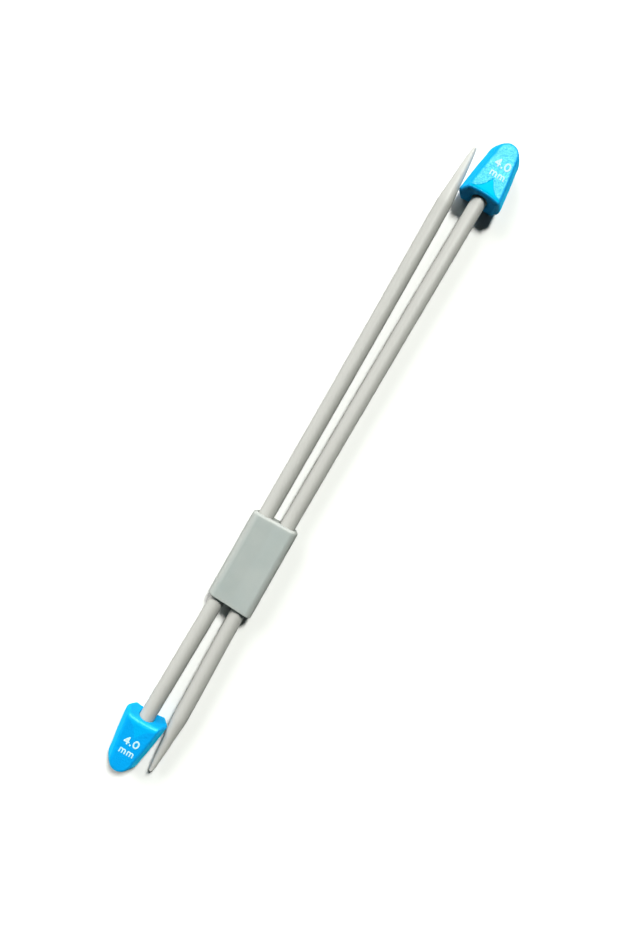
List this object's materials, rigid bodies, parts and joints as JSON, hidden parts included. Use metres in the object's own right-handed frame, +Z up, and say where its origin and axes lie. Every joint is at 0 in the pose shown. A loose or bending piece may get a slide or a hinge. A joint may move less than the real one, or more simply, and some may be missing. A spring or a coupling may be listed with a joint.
{
  "type": "pair of knitting needles",
  "caption": "Short single-pointed round knitting needles with flat bullet-shaped stopper caps, stored point to cap in a flat channelled holder sleeve that they slide out of.",
  "frame": {"origin": "on the resting surface, under the middle of the pair", "axes": "+X along the needles, towards the cap of needle B and the point of needle A; +Y from needle B to needle A; +Z up from the resting surface"},
  "size_m": [0.1842, 0.0184, 0.0066],
  "materials": {
    "shaft": "satin moulded plastic, light warm grey",
    "cap": "matt moulded plastic with a fine satin grain, bright blue",
    "sleeve": "matt silicone rubber, light grey with a green tinge"
  },
  "bodies": {
    "holder": {"holder_sleeve": "sleeve"},
    "needle_a": {"shaft_a": "shaft", "cap_a": "cap"},
    "needle_b": {"shaft_b": "shaft", "cap_b": "cap"}
  },
  "joints": [
    {"name": "needle_a_slide", "type": "slide", "parent": "holder", "child": "needle_a", "axis": [-1, -0.0048, 0], "range_m": [0, 0.135]},
    {"name": "needle_b_slide", "type": "slide", "parent": "holder", "child": "needle_b", "axis": [0.9999, 0.011, 0], "range_m": [0, 0.0775]}
  ]
}
